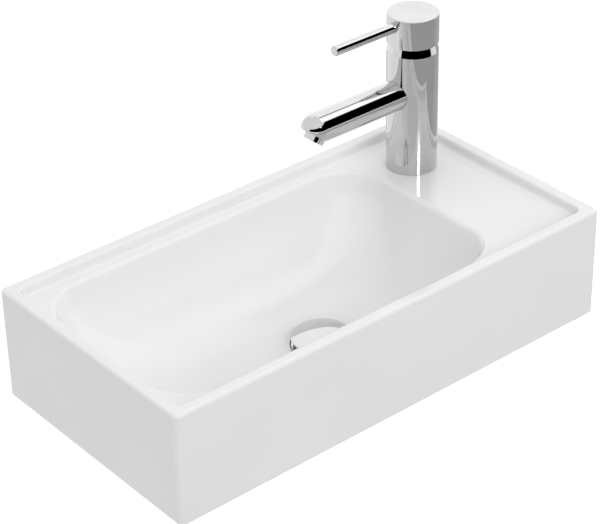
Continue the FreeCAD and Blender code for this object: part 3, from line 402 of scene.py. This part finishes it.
def bowlRings(s, drain):
    depth = s["deck"] - s["floor"]

    def floorAt(x, y):
        away = max(math.hypot(x - drain[0], y - drain[1]) - s["drainRim"], 0.0)
        rise = s["fall"] * min(away, s["fallReach"])
        return s["floor"] + rise - s["dish"] * max(1 - away / s["dishReach"], 0.0) ** 2

    rings = []
    for number in range(1, s["lipRings"] + 1):  # rounded lip
        ring = []
        for x, y, outX, outY in drawnIn(s, 0.0, 0.0):
            draft = outX ** 2 * s["left"]["draft"] + outY ** 2 * s["back" if outY > 0 else "front"]["draft"]
            lean = math.atan2(draft, depth)
            a = (math.pi / 2 - lean) * number / s["lipRings"]
            out = s["lip"] * (math.tan(math.pi / 4 - lean / 2) - math.sin(a))
            ring.append((x + outX * out, y + outY * out, s["deck"] - s["lip"] * (1 - math.cos(a))))
        rings.append(ring)
    first = math.asin(1 - (1 - s["wallStart"] * s["lip"] / depth) ** (1 / s["flatten"]))
    for number in range(s["wallRings"]):  # walls, near to a quarter of an ellipse in section
        a = first + (math.pi / 2 - first) * number / (s["wallRings"] - 1)
        step = 1 - (1 - math.sin(a)) ** s["flatten"]
        outline = drawnIn(s, step, 1 - math.cos(a))
        rings.append([(x, y, s["deck"] - step * (s["deck"] - floorAt(x, y))) for x, y, _, _ in outline])
    foot = rings[-1]
    for number in range(1, s["floorRings"]):  # floor, drawn together to the round drain
        share = number / s["floorRings"]
        ring = []
        for x, y, _ in foot:
            away = math.hypot(x - drain[0], y - drain[1])
            pull = 1 - share * (1 - s["drainRim"] / away)
            px, py = drain[0] + (x - drain[0]) * pull, drain[1] + (y - drain[1]) * pull
            ring.append((px, py, floorAt(px, py)))
        rings.append(ring)
    return rings


def oldBowl(bm, s, drain):  # faces of the solid's own bowl, from its lip to the drain
    low = (s["left"]["edge"] - s["lip"], s["front"]["edge"] - s["lip"])
    high = (s["right"]["edge"] + s["lip"], s["back"]["edge"] + s["lip"])
    old = []
    for face in bm.faces:
        x, y, z = face.calc_center_median()
        inside = low[0] < x < high[0] and low[1] < y < high[1] and z < s["deck"] - s["deckGap"]
        above = face.normal.z > 0 and min(v.co.z for v in face.verts) > s["drainTop"] - s["rimGap"]
        if inside and above and math.hypot(x - drain[0], y - drain[1]) > s["drainRim"] - s["rimGap"]:
            old.append(face)
    return old


def sweptBasin(s):
    source = frame["nodes"][s["node"]].data
    drain = middle(s["drainNode"])[:2]
    bm = bmesh.new()
    bm.from_mesh(source)
    kept = bm.loops.layers.float_vector.new("kept")  # shading of the faces that stay
    for face in bm.faces:
        for corner in face.loops:
            corner[kept] = source.corner_normals[corner.index].vector
    bmesh.ops.remove_doubles(bm, verts=bm.verts, dist=weldGap)
    bmesh.ops.delete(bm, geom=oldBowl(bm, s, drain), context="FACES")
    openEdges = [edge for edge in bm.edges if len(edge.link_faces) == 1]
    deckEdges = [edge for edge in openEdges if edge.verts[0].co.z > 0]
    drainEdges = [edge for edge in openEdges if edge.verts[0].co.z < 0]
    rings = [[bm.verts.new(p) for p in ring] for ring in bowlRings(s, drain)]
    for upper, lower in zip(rings, rings[1:]):
        for k in range(len(upper)):
            bm.faces.new((upper[k - 1], upper[k], lower[k], lower[k - 1]))
    for edges, ring in ((deckEdges, rings[0]), (drainEdges, rings[-1])):
        rim = [bm.edges.get((ring[k - 1], ring[k])) for k in range(len(ring))]
        bmesh.ops.bridge_loops(bm, edges=edges + rim)
    bmesh.ops.recalc_face_normals(bm, faces=bm.faces)
    mesh = bpy.data.meshes.new("sweptBasin")
    bm.to_mesh(mesh)
    bm.free()
    mesh.shade_smooth()
    mesh.normals_split_custom_set([row.vector for row in mesh.attributes["kept"].data])
    mesh.attributes.remove(mesh.attributes["kept"])
    piece = bpy.data.objects.new("sweptBasin", mesh)
    scene.collection.objects.link(piece)
    mesh.materials.append(finish[slotOf[s["node"]]])
    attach(piece, "basin")
    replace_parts(piece, s["node"])


sweptBasin(bowlSet)
print("bowl: swept")


# spring under the plunger, which the plug presses down

springSet = {"node": "click_spring", "joint": "plug_push", "travel": 0.007}


def clickSpring(s):
    piece = bpy.data.objects.new("clickSpring", frame["nodes"][s["node"]].data.copy())
    scene.collection.objects.link(piece)
    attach(piece, "basin")
    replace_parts(piece, s["node"])
    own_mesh(piece)


clickSpring(springSet)


# nuts, stud and waste tail, whose chamfers and threads the solids leave out

nutSides = 96
nutSet = {
    "clampNut": {
        "node": "clamp_nut", "bore": 0.0035, "countersink": 0.0006, "shoulder": 0.96, "slope": 30,
    },
    "wasteBacknut": {
        "node": "waste_backnut", "bore": 0.02105, "countersink": 0.0008, "shoulder": 0.98, "slope": 24,
    },
}


def hexNut(name, s):  # corners lie along X, and both faces are chamfered by a cone
    x, y, bottom, top = middle(s["node"])
    low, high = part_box(s["node"])
    half = (high[1] - low[1]) / 2
    shoulder = s["shoulder"] * half
    steep = math.tan(math.radians(s["slope"]))
    bore, sink = s["bore"], s["countersink"]
    verts, faces = [], []
    for k in range(nutSides):
        angle = 2 * math.pi * k / nutSides
        edge = half / math.cos(angle % (math.pi / 3) - math.pi / 6)
        drop = (edge - shoulder) * steep
        section = ((bore + sink, bottom), (shoulder, bottom), (edge, bottom + drop), (edge, top - drop),
                   (shoulder, top), (bore + sink, top), (bore, top - sink), (bore, bottom + sink))
        verts += [(x + r * math.cos(angle), y + r * math.sin(angle), z) for r, z in section]
        n = len(section)
        a, b = n * k, (k + 1) % nutSides * n
        faces += [(a + i, b + i, b + (i + 1) % n, a + (i + 1) % n) for i in range(n)]
    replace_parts(newPiece(name, verts, faces, s["node"]), s["node"])


studSet = {
    "node": "tap_stud", "root": 0.0034, "crest": 0.004, "sink": 0.0002, "pitch": 0.00125, "steps": 24,
    "sides": 32, "chamfer": 0.0007, "start": 0.0012,
}


def threadedStud(s):
    x, y, bottom, top = middle(s["node"])
    point = s["root"] - s["chamfer"]
    profile = [(0.0, bottom), (point, bottom), (s["root"], bottom + s["chamfer"]),
               (s["root"], top - s["chamfer"]), (point, top), (0.0, top)]
    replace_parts(newPiece("studRod", *turnedRings(profile, (x, y), s["sides"]), s["node"]), s["node"])
    newPiece("studThread", *woundRidge(s, (x, y), bottom + s["start"], top - s["start"]), s["node"])


wasteSet = {
    "node": "waste_body", "bore": 0.0175, "tail": 0.02095, "sides": 120,
    "root": 0.0196, "crest": 0.02095, "sink": 0.0004, "pitch": 0.002309, "steps": 60,
    "threadStart": 0.55,  # pitches from the tail's end to the thread
    "threadEnd": -0.065, "reliefTop": -0.0625, "reliefSlope": 0.0003, "flangeUnder": -0.0325,
    "chamfer": 0.0006, "edge": 0.0008, "edgeSteps": 6, "mouth": 0.0045, "mouthSteps": 8,
    "seatGap": 0.00005,  # room under the closed plug
    "webTop": -0.067, "webUnder": -0.071, "webRim": 0.0165, "webSink": 0.0001,
    "hubHole": 0.0041, "hub": 0.0085, "arms": 3, "armTurn": 60, "armSpread": 36,
}


def tailProfile(s, bottom, top, rim):
    bore, tail, root, cut = s["bore"], s["tail"], s["root"], s["chamfer"]
    profile = [(bore, bottom + cut), (bore + cut, bottom), (root - cut, bottom), (root, bottom + cut),
               (root, s["reliefTop"]), (tail, s["reliefTop"] + s["reliefSlope"]),
               (tail, s["flangeUnder"]), (rim, s["flangeUnder"])]
    for k in range(s["edgeSteps"] + 1):  # rounded edge of the flange
        a = math.pi / 2 * k / s["edgeSteps"]
        profile.append((rim - s["edge"] * (1 - math.cos(a)), top - s["edge"] * (1 - math.sin(a))))
    for k in range(s["mouthSteps"] + 1):  # mouth, rolled down into the bore
        a = math.pi / 2 * k / s["mouthSteps"]
        profile.append((bore + s["mouth"] * (1 - math.sin(a)), top - s["mouth"] * (1 - math.cos(a))))
    return profile


def wasteTail(s):
    x, y, bottom, top = middle(s["node"])
    low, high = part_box(s["node"])
    profile = tailProfile(s, bottom, top - s["seatGap"], (high[0] - low[0]) / 2)
    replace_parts(newPiece("wasteTail", *turnedRings(profile, (x, y), s["sides"]), s["node"]), s["node"])
    threadFoot = bottom + s["pitch"] * s["threadStart"]
    newPiece("tailThread", *woundRidge(s, (x, y), threadFoot, s["threadEnd"]), s["node"])


def wasteWeb(s):  # across the bore: hub, arms and rim as cells of a round grid
    x, y, _, _ = middle(s["node"])
    count = s["sides"]
    rings = (s["hubHole"], s["hub"], s["webRim"], s["bore"] + s["webSink"])
    spacing = 360 / s["arms"]
    solid = set()
    for k in range(count):
        off = ((k + 0.5) * 360 / count - s["armTurn"]) % spacing
        armed = min(off, spacing - off) < s["armSpread"] / 2
        solid |= {(0, k), (2, k)} | ({(1, k)} if armed else set())
    verts = [(x + r * math.cos(2 * math.pi * k / count), y + r * math.sin(2 * math.pi * k / count), z)
             for z in (s["webUnder"], s["webTop"]) for r in rings for k in range(count)]

    def at(level, ring, k):
        return (level * len(rings) + ring) * count + k % count

    faces = []
    for ring, k in sorted(solid):
        faces.append((at(1, ring, k), at(1, ring + 1, k), at(1, ring + 1, k + 1), at(1, ring, k + 1)))
        faces.append((at(0, ring, k), at(0, ring, k + 1), at(0, ring + 1, k + 1), at(0, ring + 1, k)))
        walls = (((ring - 1, k), (ring, k + 1), (ring, k)),
                 ((ring + 1, k), (ring + 1, k), (ring + 1, k + 1)),
                 ((ring, (k - 1) % count), (ring, k), (ring + 1, k)),
                 ((ring, (k + 1) % count), (ring + 1, k + 1), (ring, k + 1)))
        for beside, a, b in walls:  # closed wherever the next cell is open
            if beside not in solid:
                faces.append((at(0, *a), at(0, *b), at(1, *b), at(1, *a)))
    newPiece("wasteWeb", verts, faces, s["node"])


for name, s in nutSet.items():
    hexNut(name, s)
threadedStud(studSet)
wasteTail(wasteSet)
wasteWeb(wasteSet)
print("threads: stud, waste tail and two nuts")


# floor, world and lamps

stageSet = {
    "floorHeight": -0.8,  # the basin hangs on a wall
    "floorRadius": 9.0,
    "floorSides": 96,
    "floorTone": (0.86, 0.86, 0.86),
    "floorLift": (0.45, 0.76),  # the floor pales away from the basin
    "liftFrom": 1.6,
    "liftTo": 2.9,
    "ambient": 0.4,
}


def seenRays(tree):  # 1 for rays that look: camera, mirror and glass
    path = tree.nodes.new("ShaderNodeLightPath")
    total = path.outputs["Is Camera Ray"]
    for name in ("Is Glossy Ray", "Is Transmission Ray"):
        total = combine(tree, "MAXIMUM", total, path.outputs[name])
    return total


def addWorld(s):
    world = bpy.data.worlds.new("studio")
    world.use_nodes = True
    tree = world.node_tree
    back = tree.nodes["Background"]
    back.inputs["Color"].default_value = (1.0, 1.0, 1.0, 1.0)
    level = mapRange(tree, seenRays(tree), 0.0, 1.0, s["ambient"], 1.0)
    tree.links.new(level, back.inputs["Strength"])
    scene.world = world


def floorPaint(s):
    mat, tree, out = bareMaterial("floorPaint")
    paint = tree.nodes.new("ShaderNodeBsdfDiffuse")
    paint.inputs["Color"].default_value = (*s["floorTone"], 1.0)
    reach = tree.nodes.new("ShaderNodeVectorMath")
    reach.operation = "LENGTH"
    tree.links.new(place(tree), reach.inputs[0])
    lift = mapRange(tree, reach.outputs["Value"], s["liftFrom"], s["liftTo"], *s["floorLift"])
    glow = tree.nodes.new("ShaderNodeEmission")
    tree.links.new(combine(tree, "MULTIPLY", seenRays(tree), lift), glow.inputs["Strength"])
    both = tree.nodes.new("ShaderNodeAddShader")
    tree.links.new(paint.outputs[0], both.inputs[0])
    tree.links.new(glow.outputs[0], both.inputs[1])
    clear = tree.nodes.new("ShaderNodeBsdfTransparent")  # from below the floor isn't there
    side = tree.nodes.new("ShaderNodeNewGeometry")
    mix = tree.nodes.new("ShaderNodeMixShader")
    tree.links.new(side.outputs["Backfacing"], mix.inputs["Fac"])
    tree.links.new(both.outputs[0], mix.inputs[1])
    tree.links.new(clear.outputs[0], mix.inputs[2])
    tree.links.new(mix.outputs[0], out.inputs["Surface"])
    return mat


def addFloor(s):
    mesh = bpy.data.meshes.new("floor")
    count = s["floorSides"]
    ring = [(s["floorRadius"] * math.cos(2 * math.pi * k / count),
             s["floorRadius"] * math.sin(2 * math.pi * k / count), 0.0) for k in range(count)]
    mesh.from_pydata(ring, [], [list(range(count))])
    floor = bpy.data.objects.new("floor", mesh)
    floor.location.z = s["floorHeight"]
    scene.collection.objects.link(floor)
    mesh.materials.append(floorPaint(s))


# lamps light the glaze, and mirrors don't show them
lampSet = {
    "overhead": {"at": (0.05, 0.1, 1.75), "aim": (0.05, -0.1, 0.0), "size": (1.5, 1.3), "tone": 1.8},
    "front": {"at": (0.0, -2.0, 1.1), "aim": (0.0, -0.1, 0.0), "size": (2.0, 1.2), "tone": 2.7},
    "left": {"at": (-2.0, -0.1, 0.15), "aim": (0.0, -0.1, 0.0), "size": (1.4, 1.2), "tone": 1.15},
    "right": {"at": (2.0, -0.2, 0.4), "aim": (0.0, -0.1, 0.0), "size": (1.2, 1.0), "tone": 1.1},
    "back": {"at": (0.0, 2.0, 0.3), "aim": (0.0, -0.1, 0.0), "size": (1.2, 1.0), "tone": 1.2},
}


def aimed(s):  # stood at one place and facing another
    away = Vector(s["at"]) - Vector(s["aim"])
    return Matrix.Translation(s["at"]) @ away.to_track_quat("Z", "Y").to_matrix().to_4x4()


def addLamp(name, s):
    data = bpy.data.lights.new(name, "AREA")
    data.shape = "RECTANGLE"
    data.size, data.size_y = s["size"]
    data.energy = math.pi * s["size"][0] * s["size"][1] * s["tone"]
    lamp = bpy.data.objects.new(name, data)
    lamp.matrix_world = aimed(s)
    lamp.visible_glossy = False
    scene.collection.objects.link(lamp)


# cards show in mirrors only
# standing ones bend round the tap, from one bearing to another, and lying ones are level
cardSteps = 48
standingSet = {
    "darkRoom": {"centre": (0.13, -0.0645), "reach": 2.0, "from": 178, "to": 328, "low": 0.03,
                 "high": (0.45, 2.04), "tone": 0.0},
    "backPanel": {"centre": (0.13, -0.0645), "reach": 2.6, "from": 8, "to": 84, "low": -0.6,
                  "high": (3.7, 3.7), "tone": 1.3},
}
lyingSet = {
    "ceilingPanel": {"low": (0.6, -1.1), "high": (1.8, -0.14), "height": 1.75, "tone": 1.6},
    "ceilingBack": {"low": (0.6, -0.14), "high": (1.8, 1.0), "height": 1.75, "tone": 1.3},
    "apron": {"low": (-0.6, -2.0), "high": (1.6, -0.29), "height": -0.12, "tone": 0.45},
    "apronLeft": {"low": (-2.6, -1.0), "high": (-0.61, 1.4), "height": -0.12, "tone": 0.8},
    "apronEnd": {"low": (0.28, -0.29), "high": (1.6, 0.6), "height": -0.12, "tone": 0.52},
}
streakSet = {
    "at": (-0.11, -1.77, 1.063), "aim": (0.19, -0.0645, 0.055), "size": (0.38, 0.185),
    "tone": 1.8, "deepTone": 15.0,
}


def addCard(name, verts, faces, tone, deepTone=None):
    mesh = bpy.data.meshes.new(name)
    mesh.from_pydata(verts, [], faces)
    card = bpy.data.objects.new(name, mesh)
    scene.collection.objects.link(card)
    mat, tree, out = bareMaterial(name)
    glow = tree.nodes.new("ShaderNodeEmission")
    glow.inputs["Strength"].default_value = tone
    if deepTone is not None:  # brighter where it is seen by way of two mirrors
        path = tree.nodes.new("ShaderNodeLightPath")
        level = mapRange(tree, path.outputs["Glossy Depth"], 1.0, 2.0, tone, deepTone)
        tree.links.new(level, glow.inputs["Strength"])
    tree.links.new(glow.outputs[0], out.inputs["Surface"])
    mesh.materials.append(mat)
    card.visible_camera = False
    card.visible_diffuse = False
    card.visible_shadow = False
    card.visible_transmission = False


def standCard(name, s):
    verts, faces = [], []
    for k in range(cardSteps + 1):
        share = k / cardSteps
        angle = math.radians(s["from"] + (s["to"] - s["from"]) * share)
        x = s["centre"][0] + s["reach"] * math.cos(angle)
        y = s["centre"][1] + s["reach"] * math.sin(angle)
        top = s["high"][0] + (s["high"][1] - s["high"][0]) * share
        verts += [(x, y, s["low"]), (x, y, top)]
        if k:
            faces.append((2 * k - 2, 2 * k, 2 * k + 1, 2 * k - 1))
    addCard(name, verts, faces, s["tone"])


def layCard(name, s):
    (x0, y0), (x1, y1) = s["low"], s["high"]
    z = s["height"]
    addCard(name, [(x0, y0, z), (x1, y0, z), (x1, y1, z), (x0, y1, z)], [(0, 1, 2, 3)], s["tone"])


def aimCard(name, s):
    turn = aimed(s)
    w, h = s["size"][0] / 2, s["size"][1] / 2
    corners = [turn @ Vector(p) for p in ((-w, -h, 0), (w, -h, 0), (w, h, 0), (-w, h, 0))]
    addCard(name, corners, [(0, 1, 2, 3)], s["tone"], s["deepTone"])


addWorld(stageSet)
addFloor(stageSet)
for name, s in lampSet.items():
    addLamp(name, s)
for name, s in standingSet.items():
    standCard(name, s)
for name, s in lyingSet.items():
    layCard(name, s)
aimCard("streak", streakSet)
scene.view_settings.view_transform = "Standard"
print("stage: floor,", len(lampSet), "lamps,", len(standingSet) + len(lyingSet) + 1, "cards")
